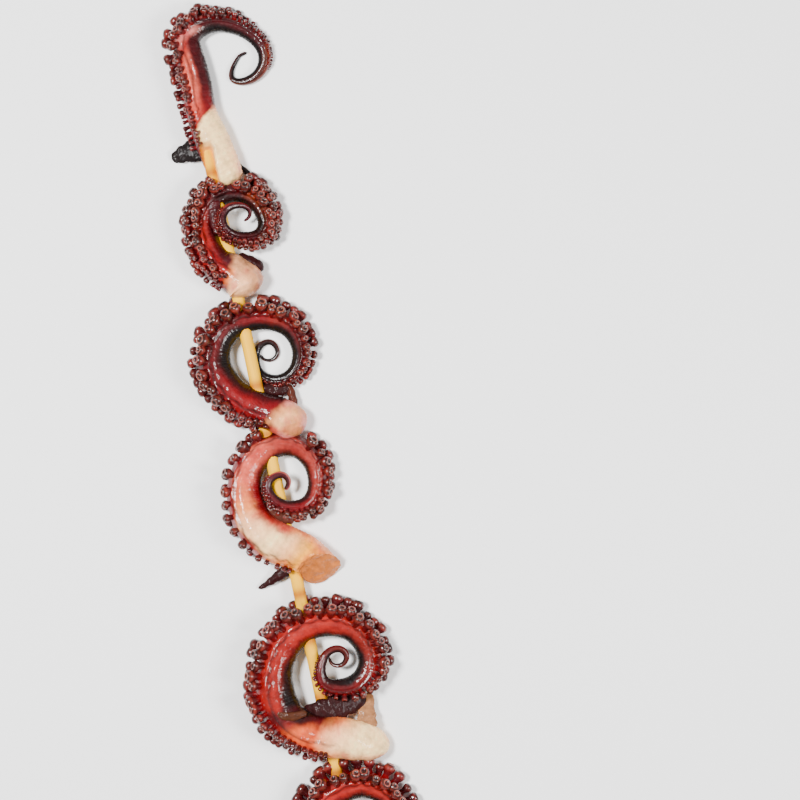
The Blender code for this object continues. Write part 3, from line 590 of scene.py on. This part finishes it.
def make_skin(name, seed):
    """Points and colours of one arm, and its heading: ovals moved out by the relief."""
    path = paths[name]
    overhang = OVERHANG[name]
    length = path["marks"][-1]
    distance = np.linspace(-overhang + 0.02, length - 0.01, int((length + overhang) / RING_STEP))
    x, y, heading = place(path, distance)
    width, height, centre = body(path, distance, overhang, ROUNDING[name])
    roll = np.radians(column(path, ROLL, distance))
    sucker = column(path, SUCKER, distance)
    angle = np.arange(AROUND) * 2 * math.pi / AROUND
    a = angle[None, :]
    torn = 1 - smooth(0.5, 1.5 * path["marks"][1] + 6, distance)
    out = skin_relief(
        distance[:, None], a, width[:, None], sucker[:, None], roll[:, None], torn[:, None], seed,
    )
    out = out * np.minimum(1, width / np.maximum(column(path, HALF_WIDTH, distance), 0.1))[:, None]
    fuller = 1 + FULLNESS * np.cos(a) * (np.sin(a) > 0)
    across = (width[:, None] + out) * np.cos(a)
    up = (height[:, None] + out) * np.sin(a) * fuller
    points = np.stack((
        x[:, None] - np.sin(heading)[:, None] * across,
        y[:, None] + np.cos(heading)[:, None] * across,
        np.maximum(centre[:, None] + up, FLOOR_FILM),
    ), axis=-1)
    colours = skin_colours(name, path, distance, a, roll, sucker, seed)
    return points, colours, heading


# %% [markdown]
# Two arms need more than a plain skin. The base of the fourth was cut with a knife, so the
# points past the knife's plane slide back into it and take the colour of bare muscle. The
# first arm's base is torn open over the stick, so its points there drop below the stick's top.

# %% Cuts
CUT_POINT = np.array((8.5, -179.5, 12.5))
CUT_AZIMUTH = math.radians(-70.3)
CUT_ELEVATION = math.radians(40)
GROOVE_HALF_WIDTH = 2.2
GROOVE_START = -7.5
GROOVE_RAMP = 4.0
GROOVE_FLOOR = 1.4
GROOVE_STAIN = 0.8


def cut_base(points, colours, heading):
    """Points past the plane move back along the arm's first direction until they lie in it."""
    flat = math.cos(CUT_ELEVATION)
    normal = np.array((flat * math.cos(CUT_AZIMUTH), flat * math.sin(CUT_AZIMUTH), math.sin(CUT_ELEVATION)))
    along = np.array((math.cos(heading[0]), math.sin(heading[0]), 0.0))
    rough = 0.35 * ripple(points[..., 0] * 0.9, points[..., 1] * 0.9 + points[..., 2], 12)
    beyond = np.maximum((points - CUT_POINT) @ normal + rough, 0)
    bare = smooth(0.0, 0.05, beyond)[..., None]
    fibre = 1 + 0.22 * ripple(points[..., 0] * 1.6, points[..., 1] * 0.7 + points[..., 2], 9)[..., None]
    points = points - (beyond / (along @ normal))[..., None] * along
    return points, colours * (1 - bare) + linear("cut_flesh") * fibre * bare


def open_groove(points, colours):
    """Over the stick the skin drops to just under the stick's top, with stained, sloping sides."""
    side = np.abs(points[..., 0]) + 0.35 * ripple(points[..., 1] / 2, points[..., 1] / 3, 4)
    inside = (1 - smooth(GROOVE_HALF_WIDTH - 0.5, GROOVE_HALF_WIDTH + 0.9, side))
    inside = inside * smooth(GROOVE_START, GROOVE_START - GROOVE_RAMP, points[..., 1])
    floor = STICK_HEIGHT + GROOVE_FLOOR
    above = np.maximum(points[..., 2] - floor, 0)
    points = points.copy()
    points[..., 2] = points[..., 2] - above * inside
    stain = (inside * (above > 0))[..., None] * GROOVE_STAIN
    return points, colours * (1 - stain) + linear("yellow_orange") * stain


skins = {}
for number, name in enumerate(ARMS):
    points, colours, heading = make_skin(name, number + 1)
    if name == "arm_4":
        points, colours = cut_base(points, colours, heading)
    if name == "arm_1":
        points, colours = open_groove(points, colours)
    skins[name] = grid_mesh(f"{name}_skin", points, colours, skin)
    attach(skins[name], "root")
    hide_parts(name)
    print(name, "skin:", len(skins[name].data.polygons), "faces")

# %% [markdown]
# Each sucker is a fleshy cup on a short stalk, with a dark horny ring round its mouth. Modelling
# every cup alone would take hundreds of objects. One profile, turned round its own axis, gives
# all of them: a finer one for the large suckers and a plainer one for the small.

# %% The profiles of the suckers
# Distance from the axis and height, both as shares of the sucker's radius
CUP = np.array((
    (0.74, -0.9), (0.7, 0.3), (1.04, 0.86), (1.14, 1.45), (0.85, 1.98), (0.6, 2.1), (0.44, 1.88), (0.0, 1.7),
))
CUP_COLOURS = ("red", "stalk", "cup_side", "cup_top", "rim", "cup_centre", "rim", "cup_side")
CUP_SMALL = np.array(((0.8, -0.9), (0.8, 0.4), (1.1, 1.2), (0.85, 1.85), (0.45, 1.9), (0.0, 1.6)))
CUP_SMALL_COLOURS = ("red", "stalk", "cup_side", "cup_top", "rim", "cup_side")
CUP_SIDES = 9
LARGE_RADIUS = 1.2
# The middle of the head above the foot, and how far it reaches each way, in radii
HEAD_HEIGHT = 1.3
HEAD_REACH = 1.13
# How much the suckers differ: how oval they are, how bright, and each colour channel
OVALNESS = (0.9, 1.12)
BRIGHTNESS = (0.55, 1.6)
CHANNELS = (0.9, 1.1)
# Stalks that stand further out, as a share of the radius
LONG_STALKS = {"arm_1": 0.4, "arm_5": 0.55, "arm_6": 0.5}
print("faces of a large sucker:", (len(CUP) - 1) * CUP_SIDES + 1)

# %% [markdown]
# The suckers stand in two staggered rows, and in three on the dark second arm, and they shrink
# towards the tip. Where a coil closes on itself, or two arms meet, a sucker has no room, so a
# spot is used only where its head stays mostly clear of everything else.

# %% Where the suckers stand
# Angles up from the arm's outer side, in degrees, and the spacing in radii
UPPER_ROW = 47.0
MIDDLE_ROW = 16.0
LOWER_ROW = -16.0
THREE_ROWS = ("arm_2",)
HEADS_APART = 2.15
# The axis points up by this share of its foot's angle
AXIS_SHARE = 0.75
# How much each one differs in size, in spacing, in degrees and in its lean along the arm
SIZE_SPREAD = (0.76, 1.12)
STEP_SPREAD = (0.95, 1.12)
ROW_SPREAD = 9
LEAN_SPREAD = 0.25
# What a sucker is turned up or down by, in degrees, until it clears the floor and the top
TRIED_TURNS = (0, 5, -5, 10, -10, 15, -15, 20, -20, 25, -25, 30, 35, 40)
LEAST_RADIUS = 0.25
LEAST_RADIUS_AT_BASE = 0.95
STRAIGHT_ARM = "arm_1"
STRAIGHT_ARM_RADIUS = 1.05
HIGHEST = (cad_high[2] - cad_low[2]) / MM + 0.2
# How far a head may sink into its own arm's other turns, and into another arm, in radii
WORST_OVERLAP = 0.35
NEIGHBOUR_OVERLAP = 0.8
# Where an arm is rolled down by so many degrees, its suckers stand this share further apart
TURNED_DOWN = 15.0
SPARSER = 0.55


def all_bodies():
    """Points along every arm's middle line with their thickness, to keep suckers out of them."""
    found = []
    for number, (name, path) in enumerate(paths.items()):
        at = np.arange(0, path["marks"][-1], 1.0)
        x, y, _ = place(path, at)
        width, height, centre = body(path, at, OVERHANG[name], ROUNDING[name])
        found.append(np.stack((x, y, centre, np.minimum(width, height), at, 0 * at + number), axis=-1))
    return np.vstack(found)


ALL_BODIES = all_bodies()


def is_free(head, size, number, spot, width):
    """True where the head sinks little enough into every other turn and every other arm."""
    apart = np.linalg.norm(ALL_BODIES[:, :3] - head, axis=1) - ALL_BODIES[:, 3] - size
    near = (ALL_BODIES[:, 5] == number) & (np.abs(ALL_BODIES[:, 4] - spot) < 2.5 * width + 2 * size)
    most = np.where(ALL_BODIES[:, 5] == number, WORST_OVERLAP, NEIGHBOUR_OVERLAP) * size
    return bool(np.all(apart[~near] > -most[~near]))


def find_suckers(name, number, seed):
    """Rows of suckers along the outer side, their heads nearly touching.

    A coil's outer side is longer than its middle line, so the steps on the line are shortened.
    """
    path = paths[name]
    random = np.random.default_rng(seed)
    length = path["marks"][-1]
    bend = np.abs(np.gradient(path["heading"], path["at"]))
    found = []
    rows = (UPPER_ROW, MIDDLE_ROW, LOWER_ROW) if name in THREE_ROWS else (UPPER_ROW, LOWER_ROW)
    for index, row in enumerate(rows):
        at = float(index)
        while at < length:
            radius = float(column(path, SUCKER, at))
            if name == STRAIGHT_ARM and path["marks"][1] - 2 < at < path["marks"][3]:
                radius = max(radius, STRAIGHT_ARM_RADIUS)
            width = float(column(path, HALF_WIDTH, at))
            near_base = at < path["marks"][3] and name != STRAIGHT_ARM
            if radius < (LEAST_RADIUS_AT_BASE if near_base else LEAST_RADIUS):
                at += FINE_STEP
                continue
            size = radius * random.uniform(*SIZE_SPREAD)
            sucker = stand_sucker(path, name, at, size, row, random)
            if sucker is not None:
                head = sucker[0] + sucker[1] * size * HEAD_HEIGHT
                if is_free(head, size, number, at, width):
                    found.append(sucker)
            reach = width * math.cos(math.radians(row))
            reach = reach + (HEAD_HEIGHT + LONG_STALKS.get(name, 0)) * size
            stretch = 1 + reach * float(np.interp(at, path["at"], bend))
            sparse = 1 + SPARSER * float(smooth(0, TURNED_DOWN, -column(path, ROLL, at)))
            at += HEADS_APART * size * random.uniform(*STEP_SPREAD) * sparse / stretch
    return found


def stand_sucker(path, name, spot, size, row, random):
    """Foot on the skin, axis and size, or none: it turns until it clears the floor and the top."""
    x, y, heading = place(path, spot)
    width, height, centre = (float(v) for v in body(path, spot, OVERHANG[name], ROUNDING[name]))
    roll = float(column(path, ROLL, spot))
    sideways = np.array((-math.sin(heading), math.cos(heading), 0.0))
    forwards = np.array((math.cos(heading), math.sin(heading), 0.0))
    lean = random.uniform(-LEAN_SPREAD, LEAN_SPREAD)
    row = row + random.uniform(-ROW_SPREAD, ROW_SPREAD)
    for turn in TRIED_TURNS:
        turned = roll + row + turn
        angle = math.radians(turned)
        axis = math.radians(AXIS_SHARE * turned)
        fuller = 1 + FULLNESS * math.cos(angle) * (math.sin(angle) > 0)
        foot = np.array((float(x), float(y), centre + height * math.sin(angle) * fuller))
        foot = foot + sideways * width * math.cos(angle)
        way = sideways * math.cos(axis) + np.array((0, 0, math.sin(axis))) + forwards * lean
        way = way / np.linalg.norm(way)
        foot = foot + way * size * LONG_STALKS.get(name, 0)
        middle = foot[2] + HEAD_HEIGHT * size * way[2]
        if middle > HEAD_REACH * size + 0.05 and middle + HEAD_REACH * size < HIGHEST:
            return foot, way, size
    return None


# %% [markdown]
# A sucker's mesh could be copied as an object for every spot. Here the profile's points are
# multiplied by the size, turned along three axes and moved to the foot, for all the suckers of
# an arm in one array, so that each arm's suckers are a single piece.

# %% Build the suckers


def turn_profile(profile, sides):
    """Points of a profile turned round Z, as profile rows by sides; the last row closes the cup."""
    around = np.arange(sides) * 2 * math.pi / sides
    radius = profile[:, :1]
    return np.stack((radius * np.cos(around), radius * np.sin(around), profile[:, 1:] + 0 * around), axis=-1)


def cup_mesh_parts(group, profile, tints, sides, seed, start):
    """All suckers of one kind: each template point times size, along three axes, plus its foot."""
    random = np.random.default_rng(seed)
    shape = turn_profile(profile[:-1], sides).reshape(-1, 3)
    shape = np.vstack((shape, (0, 0, profile[-1, 1])))
    foot = np.array([s[0] for s in group])
    way = np.array([s[1] for s in group])
    size = np.array([s[2] for s in group])[:, None, None]
    flat = np.cross(way, (0.0, 0.0, 1.0))
    flat = flat / np.linalg.norm(flat, axis=1, keepdims=True)
    other = np.cross(way, flat)
    stretch = random.uniform(*OVALNESS, (len(group), 1, 1))
    local = shape[None]
    points = foot[:, None] + size * (
        local[..., :1] * flat[:, None] * stretch + local[..., 1:2] * other[:, None] / stretch
        + local[..., 2:] * way[:, None]
    )
    rows = len(profile) - 1
    tint = np.array([linear(t) for t in tints])
    paint = np.vstack((np.repeat(tint[:-1], sides, axis=0), tint[-1:]))
    paint = paint[None] * random.uniform(*BRIGHTNESS, (len(group), 1, 1))
    paint = paint * random.uniform(*CHANNELS, (len(group), 1, 3))
    number = np.arange(rows * sides).reshape(rows, sides)
    after = np.roll(number, -1, axis=1)
    quads = np.stack((number[:-1], after[:-1], after[1:], number[1:]), axis=-1).reshape(-1, 4)
    tip = np.full(sides, rows * sides)
    fan = np.stack((number[-1], after[-1], tip), axis=-1)
    bottom = number[0][::-1][None]
    offsets = start + np.arange(len(group)) * len(shape)
    faces = []
    for block in (quads, fan, bottom):
        faces += (block[None] + offsets[:, None, None]).reshape(-1, block.shape[1]).tolist()
    return points.reshape(-1, 3), np.clip(paint, 0, 1).reshape(-1, 3), faces


def make_suckers(name, number, seed):
    """All suckers of one arm as one mesh: the large ones, then the small ones."""
    suckers = find_suckers(name, number, seed)
    large = [s for s in suckers if s[2] >= LARGE_RADIUS]
    small = [s for s in suckers if s[2] < LARGE_RADIUS]
    points, paint, faces = cup_mesh_parts(large, CUP, CUP_COLOURS, CUP_SIDES, seed, 0)
    more = cup_mesh_parts(small, CUP_SMALL, CUP_SMALL_COLOURS, CUP_SIDES, seed + 50, len(points))
    points = np.vstack((points, more[0]))
    paint = np.vstack((paint, more[1]))
    item = painted_mesh(f"{name}_suckers", points, faces + more[2], paint, cups)
    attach(item, "root")
    return len(large), len(small)


for number, name in enumerate(ARMS):
    large, small = make_suckers(name, number, 20 + number)
    print(name, "suckers:", large, "large,", small, "small")

# %% [markdown]
# Torn skin and membrane hang from the arms as dark flaps, a horn and straps. A flat sheet would
# need a thickness and a closed rim. They are thin, so a flattened tube along a short line of its
# own gives both faces and a closed edge. The webs, the wedge and the fold are thin skin between
# the turns and are made only here, because the solid arms carry the larger shreds alone.

# %% Shreds
# The rows of a plan's first five columns, then overhang, rounding, thickness and colour
SHREDS = {
    "flap_1": (((-3.5, -9.0, 188, 5.0, 2.2), (-9.0, -9.7, 190, 4.4, 1.8), (-15.0, -10.9, 192, 1.3, 1.2)),
               1.0, 2.0, 0.25, "black"),
    "lumps_2": (((11.0, -61.0, 140, 2.4, 3.0), (7.0, -57.4, 142, 2.6, 3.2), (3.2, -54.6, 150, 1.8, 3.4)),
                1.5, 3.0, 0.85, "dark_maroon"),
    "strap_3": (((13.0, -118.0, 88, 1.8, 3.0), (12.8, -112.0, 98, 1.8, 2.4), (11.2, -107.6, 122, 1.4, 2.0)),
                0.5, 1.5, 0.7, "umber"),
    "horn_4": (((-2.6, -181.9, 190, 2.7, 1.4), (-9.0, -184.3, 202, 2.0, 0.8), (-16.2, -186.8, 190, 0.5, 0.4)),
               0.5, 1.5, 0.8, "dark_maroon"),
    "wedge_1": (((9.0, -17.5, -40, 1.0, 2.0), (12.2, -20.6, -45, 1.5, 2.0), (14.6, -23.6, -50, 0.8, 1.5)),
                0.5, 1.0, 0.5, "black"),
    "web_2": (((-1.5, -31.5, -95, 2.4, 7.5), (-2.4, -38.0, -92, 2.6, 7.5), (-1.8, -44.5, -78, 2.0, 7.3)),
              0.5, 1.0, 0.3, "maroon"),
    "web_3": (((1.0, -108.4, -20, 2.0, 3.0), (7.0, -110.0, -8, 2.8, 3.0), (12.6, -109.6, 15, 2.4, 2.5)),
              0.5, 1.5, 0.5, "dark_maroon"),
    "web_4": (((-4.6, -153.5, -62, 2.4, 6.8), (-1.0, -158.8, -52, 3.4, 7.2), (4.4, -162.0, -20, 2.2, 7.0)),
              0.5, 1.5, 0.4, "umber"),
    "web_5": (((-10.0, -240.4, 8, 2.4, 3.0), (-4.5, -239.8, 4, 4.6, 7.2), (2.5, -239.4, 0, 5.0, 7.4),
               (12.0, -239.2, -4, 4.4, 5.0), (17.6, -240.2, -12, 1.4, 2.4)), 0.5, 3.0, 0.3, "dark_maroon"),
    "fold_5": (((-19.0, -235.6, -28, 1.0, 13.4), (-13.2, -238.2, -12, 2.1, 13.9),
                (-6.4, -238.0, 12, 1.1, 12.4)), 0.5, 1.5, 0.4, "olive"),
    "strap_5": (((15.6, -249.0, 68, 4.6, 5.6), (16.8, -243.0, 72, 3.3, 3.4), (18.8, -236.8, 72, 1.9, 1.6)),
                0.5, 1.5, 0.3, "taupe"),
}
SHRED_STEP = 0.3
SHRED_AROUND = 40


def make_shred(name, plan, seed):
    """The same carried oval as a skin, flatter, with a crumpled edge and a few waves."""
    rows, overhang, rounding, thickness, tone = plan
    path = trace(rows)
    length = path["marks"][-1]
    distance = np.linspace(-overhang + 0.02, length - 0.01, int((length + overhang) / SHRED_STEP))
    x, y, heading = place(path, distance)
    width, height, centre = body(path, distance, overhang, rounding, thickness)
    a = (np.arange(SHRED_AROUND) * 2 * math.pi / SHRED_AROUND)[None, :]
    crumple = 1 + 0.13 * ripple(distance[:, None] * 1.2, 2 * np.cos(a), seed)
    across = width[:, None] * np.cos(a) * crumple
    up = height[:, None] * np.sin(a) * crumple
    up = up + 0.1 * thickness * width[:, None] * ripple(distance[:, None], np.cos(a) * 2, seed + 2)
    points = np.stack((
        x[:, None] - np.sin(heading)[:, None] * across,
        y[:, None] + np.cos(heading)[:, None] * across,
        np.maximum(centre[:, None] + up, FLOOR_FILM),
    ), axis=-1)
    mottle = 1 + 0.3 * ripple(distance[:, None] * 1.5, np.cos(a) * 4, seed + 5)
    colours = np.clip(linear(tone) * mottle[..., None], 0, 1)
    item = grid_mesh(name, points, colours, shreds)
    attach(item, "root")
    return item


for number, (name, plan) in enumerate(SHREDS.items()):
    piece = make_shred(name, plan, 40 + number)
    print(name, len(piece.data.polygons), "faces")

# %% [markdown]
# The stick is a round bamboo skewer: pale yellow, with fine fibres along it and orange stains
# of cooking juice where it goes into an arm. A plain cylinder would have no point and no stains.
# It is turned from a profile, and the grain is a noise stretched along it in the material.

# %% Stick
STICK_TAPER = 14.0
STICK_SIDES = 32
POINT_RINGS = 24
SHAFT_RINGS = 380
# The radius at the point and 0.4 mm from it, and the bevel at the other end
TIP_RADIUS = 0.15
NEAR_TIP_RADIUS = 0.5
END_BEVEL = 0.5
STAIN_REACH = 2.2
STAIN_SHARE = 0.75
FIBRES_PER_METRE = 2600.0
FIBRE_LENGTH = 40
FIBRE_HEIGHT = 0.0002
FIBRE_BUMP_STRENGTH = 0.28
DARKEST_FIBRE = 0.72
LIGHTEST_FIBRE = 1.2
BAMBOO_ROUGHNESS = 0.55
BAMBOO_SPECULAR = 0.1
# Where the stick goes into an arm or comes out of one, in mm from its point
STAINS = (-20.0, -82.0, -107.0, -127.0, -181.0, -192.0, -211.0, -234.0, -257.0, -265.0)


def make_stick():
    """Rings along -Y: the radius tapers over the point, and each stain fades as a bell curve."""
    point = np.linspace(0.0, STICK_TAPER, POINT_RINGS)
    run = np.concatenate((point, np.linspace(STICK_TAPER, STICK_LENGTH, SHAFT_RINGS)[1:]))
    radius = np.interp(run, (0.0, 0.4, STICK_TAPER), (TIP_RADIUS, NEAR_TIP_RADIUS, STICK_RADIUS))
    bevel = STICK_RADIUS - END_BEVEL + (STICK_LENGTH - run)
    radius = np.where(run > STICK_LENGTH - END_BEVEL, bevel, radius)
    a = (np.arange(STICK_SIDES) * 2 * math.pi / STICK_SIDES)[None, :]
    points = np.stack((
        radius[:, None] * np.cos(a), -run[:, None] + 0 * a, STICK_HEIGHT - radius[:, None] * np.sin(a),
    ), axis=-1)
    pale = linear("bamboo")
    stain = np.max([np.exp(-((-run - y) / STAIN_REACH) ** 2) for y in STAINS], axis=0)[:, None, None]
    colours = pale * (1 - STAIN_SHARE * stain) + linear("stain") * STAIN_SHARE * stain + 0 * a[..., None]
    return grid_mesh("bamboo_stick", points, colours, bamboo)


def bamboo_material():
    """Stored colour times a noise that is 40 times longer along Y than across."""
    material, tree, shader = nodes_of("bamboo_grain")
    coordinates = tree.nodes.new("ShaderNodeTexCoord")
    longer = tree.nodes.new("ShaderNodeMapping")
    longer.inputs["Scale"].default_value = (1.0, 1 / FIBRE_LENGTH, 1.0)
    tree.links.new(coordinates.outputs["Object"], longer.inputs["Vector"])
    noise = tree.nodes.new("ShaderNodeTexNoise")
    noise.inputs["Scale"].default_value = FIBRES_PER_METRE
    noise.inputs["Detail"].default_value = 4.0
    tree.links.new(longer.outputs["Vector"], noise.inputs["Vector"])
    speckle(tree, shader, noise, DARKEST_FIBRE, LIGHTEST_FIBRE)
    add_bump(tree, noise, FIBRE_BUMP_STRENGTH, FIBRE_HEIGHT, shader.inputs["Normal"])
    shader.inputs["Roughness"].default_value = BAMBOO_ROUGHNESS
    shader.inputs["Specular IOR Level"].default_value = BAMBOO_SPECULAR
    return material


bamboo = bamboo_material()
stick = make_stick()
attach(stick, "root")
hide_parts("stick")
print("stick:", len(stick.data.polygons), "faces")

# %% [markdown]

# %% Slots are not set
print("no slots given")

# %% [markdown]
# The picture is taken from straight above. The camera is turned a little, because the skewer
# lies at a slant in the frame. A long lens keeps the coils nearly free of perspective, and its
# distance counts from the arms' middle height. Two large soft lights and a pale floor give the
# even studio look.

# %% Floor, lights and camera
# Millimetres to a pixel of the picture, its width, and where the stick's point lies in it
PIXEL = 0.4
FRAME_PIXELS = 800
TIP_PIXEL = np.array((202.0, 124.0))
# From the sine and cosine of the stick's slant in the picture
SLANT = math.atan2(0.2034, 0.9791)
LENS = 100.0
SENSOR = 36.0
MIDDLE_HEIGHT = 6.0
CLIP_END = 20.0
FLOOR_HALF = 3.0
FLOOR_WHITE = 0.95
FLOOR_ROUGHNESS = 0.8
# Each light's name, place in mm, side in metres and power in watts
LIGHTS = (("key", (-350.0, 250.0, 900.0), 0.2, 22.0), ("fill", (600.0, -200.0, 700.0), 0.3, 10.0))
SKY_STRENGTH = 0.4

floor_mesh = bpy.data.meshes.new("floor")
corners = [(x * FLOOR_HALF, y * FLOOR_HALF, 0) for x, y in ((-1, -1), (1, -1), (1, 1), (-1, 1))]
floor_mesh.from_pydata(corners, [], [(0, 1, 2, 3)])
floor = bpy.data.objects.new("floor", floor_mesh)
bpy.context.scene.collection.objects.link(floor)
floor_material, _, floor_shader = nodes_of("pale_floor")
floor_shader.inputs["Base Color"].default_value = (FLOOR_WHITE, FLOOR_WHITE, FLOOR_WHITE, 1.0)
floor_shader.inputs["Roughness"].default_value = FLOOR_ROUGHNESS
floor_mesh.materials.append(floor_material)
floor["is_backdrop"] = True

offset = np.array((FRAME_PIXELS / 2, FRAME_PIXELS / 2)) - TIP_PIXEL
middle_x = PIXEL * (offset[0] * math.cos(SLANT) - offset[1] * math.sin(SLANT))
middle_y = -PIXEL * (offset[0] * math.sin(SLANT) + offset[1] * math.cos(SLANT))
camera = bpy.data.objects.new("camera", bpy.data.cameras.new("camera"))
camera.data.lens = LENS
camera.data.sensor_width = SENSOR
camera_height = FRAME_PIXELS * PIXEL * LENS / SENSOR + MIDDLE_HEIGHT
camera.location = ((POINT[0] + middle_x) * MM, (POINT[1] + middle_y) * MM, camera_height * MM)
camera.rotation_euler = (0.0, 0.0, -SLANT)
camera.data.clip_end = CLIP_END
bpy.context.scene.collection.objects.link(camera)
bpy.context.scene.camera = camera


def add_light(name, place_mm, size, power):
    """A square area light turned to face the origin."""
    light = bpy.data.lights.new(name, "AREA")
    light.size = size
    light.energy = power
    item = bpy.data.objects.new(name, light)
    item.location = np.array(place_mm) * MM
    aim = -np.array(place_mm, float)
    tilt = math.acos(aim[2] / np.linalg.norm(aim)) + math.pi
    item.rotation_euler = (tilt, 0.0, math.atan2(aim[1], aim[0]) + math.pi / 2)
    bpy.context.scene.collection.objects.link(item)


for name, place_mm, size, power in LIGHTS:
    add_light(name, place_mm, size, power)
world = bpy.data.worlds.new("studio")
world.use_nodes = True
world.node_tree.nodes["Background"].inputs["Color"].default_value = (1.0, 1.0, 1.0, 1.0)
world.node_tree.nodes["Background"].inputs["Strength"].default_value = SKY_STRENGTH
bpy.context.scene.world = world
print("camera", [round(v, 3) for v in camera.location])

# %% Measure how far the box grows
low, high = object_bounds()
below = [round((a - b) / MM, 2) for a, b in zip(cad_low, low)]
above = [round((b - a) / MM, 2) for a, b in zip(cad_high, high)]
print("box grows by mm:", below, above)
